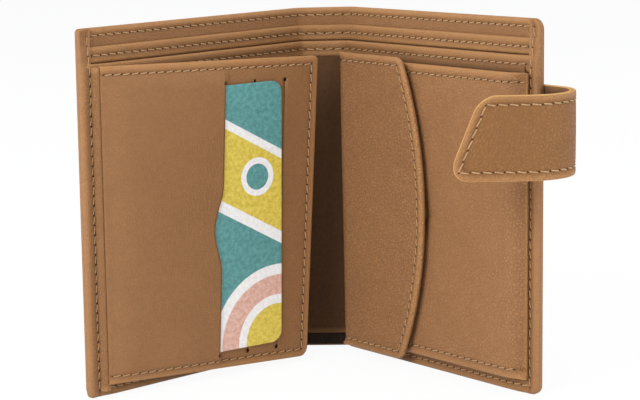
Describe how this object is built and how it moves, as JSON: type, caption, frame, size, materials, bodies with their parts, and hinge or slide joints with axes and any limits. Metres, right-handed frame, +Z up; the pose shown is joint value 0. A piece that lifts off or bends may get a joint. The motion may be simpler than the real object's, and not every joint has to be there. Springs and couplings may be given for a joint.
{
  "type": "coupon organizer wallet",
  "caption": "Upright bifold wallet in tan leather, standing open, with a card wing, a flapped coin pocket, bill compartments and a snap strap.",
  "frame": {"origin": "bottom centre of the spine, on the plane of its two folds, where it stands", "axes": "+Z up along the folds, +Y out of the back of the spine, +X along the wallet's width towards the coin pocket"},
  "size_m": [0.1505, 0.0925, 0.115],
  "materials": {
    "cover_leather": "pebbled, satin",
    "inner_leather": "pebbled, satin",
    "turned_leather": "smooth, satin",
    "strap_leather": "pebbled, satin",
    "strap_lining": "fine grain, matt",
    "suede_lining": "suede, matt",
    "pocket_fabric": "matt",
    "snap_brass": "aged, satin",
    "card_plastic": "gloss"
  },
  "bodies": {
    "spine": {"spine_cover": "cover_leather", "spine_lining": "suede_lining", "divider_1_spine": "inner_leather", "divider_1_spine_hem": "turned_leather", "divider_2_spine": "inner_leather", "divider_2_spine_hem": "turned_leather"},
    "left_half": {"left_cover": "cover_leather", "left_cover_hem": "turned_leather", "left_lining": "suede_lining", "left_divider_1": "inner_leather", "left_divider_1_hem": "turned_leather", "left_divider_2": "inner_leather", "left_divider_2_hem": "turned_leather", "left_divider_1_side_welt": "inner_leather", "left_divider_1_foot_welt": "inner_leather", "left_divider_2_side_welt": "inner_leather", "left_divider_2_foot_welt": "inner_leather", "left_edge_binding": "turned_leather", "cover_snap_stud": "snap_brass", "cover_snap_post": "snap_brass"},
    "wing_strip": {"wing_hinge_strip": "inner_leather"},
    "wing": {"wing_back": "inner_leather", "wing_pocket_lining": "pocket_fabric", "wing_face": "inner_leather"},
    "card": {"card": "card_plastic"},
    "right_half": {"right_cover": "cover_leather", "right_cover_hem": "turned_leather", "right_lining": "suede_lining", "right_divider_1": "inner_leather", "right_divider_1_hem": "turned_leather", "right_divider_2": "inner_leather", "right_divider_2_hem": "turned_leather", "right_divider_1_side_welt": "inner_leather", "right_divider_1_foot_welt": "inner_leather", "right_divider_2_side_welt": "inner_leather", "right_divider_2_foot_welt": "inner_leather", "right_edge_binding": "turned_leather", "coin_pocket_back": "suede_lining", "coin_pocket_front": "inner_leather", "coin_gusset_top": "suede_lining", "coin_gusset_bottom": "suede_lining", "coin_gusset_side": "suede_lining", "coin_snap_stud": "snap_brass", "coin_snap_post": "snap_brass", "strap_anchor_outer": "strap_leather", "strap_anchor_lining": "strap_lining"},
    "coin_flap": {"coin_flap_outer": "inner_leather", "coin_flap_lining": "suede_lining", "coin_flap_fold": "inner_leather", "coin_snap_socket": "snap_brass"},
    "strap": {"strap_outer": "strap_leather", "strap_lining": "strap_lining", "strap_snap_socket": "snap_brass"}
  },
  "joints": [
    {"name": "left_fold", "type": "hinge", "parent": "spine", "child": "left_half", "pos_m": [-0.009, 0, 0], "axis": [0, 0, 1], "range_deg": [-47.5, 42.5]},
    {"name": "right_fold", "type": "hinge", "parent": "spine", "child": "right_half", "pos_m": [0.009, 0, 0], "axis": [0, 0, -1], "range_deg": [-47.5, 42.5]},
    {"name": "wing_turn", "type": "hinge", "parent": "left_half", "child": "wing_strip", "pos_m": [-0.06427, -0.06654, 0], "axis": [0, 0, 1], "range_deg": [-130, 0]},
    {"name": "wing_press", "type": "hinge", "parent": "wing_strip", "child": "wing", "pos_m": [-0.06427, -0.06654, 0], "axis": [0, 0, 1], "range_deg": [-9.5, 8.5]},
    {"name": "card_slide", "type": "slide", "parent": "wing", "child": "card", "axis": [-0.7767, -0.6289, 0.0349], "range_m": [-0.018, 0.002]},
    {"name": "flap_turn", "type": "hinge", "parent": "right_half", "child": "coin_flap", "pos_m": [0.00895, -0.00601, 0], "axis": [0, 0, 1], "range_deg": [-60, 0]},
    {"name": "strap_turn", "type": "hinge", "parent": "right_half", "child": "strap", "pos_m": [0.07192, -0.06659, 0], "axis": [0, 0, -1], "range_deg": [-105, 47.5]}
  ],
  "couplings": [
    {"joint": "right_fold", "follows": "left_fold", "ratio": 1},
    {"joint": "wing_press", "follows": "left_fold", "ratio": 0.2}
  ]
}
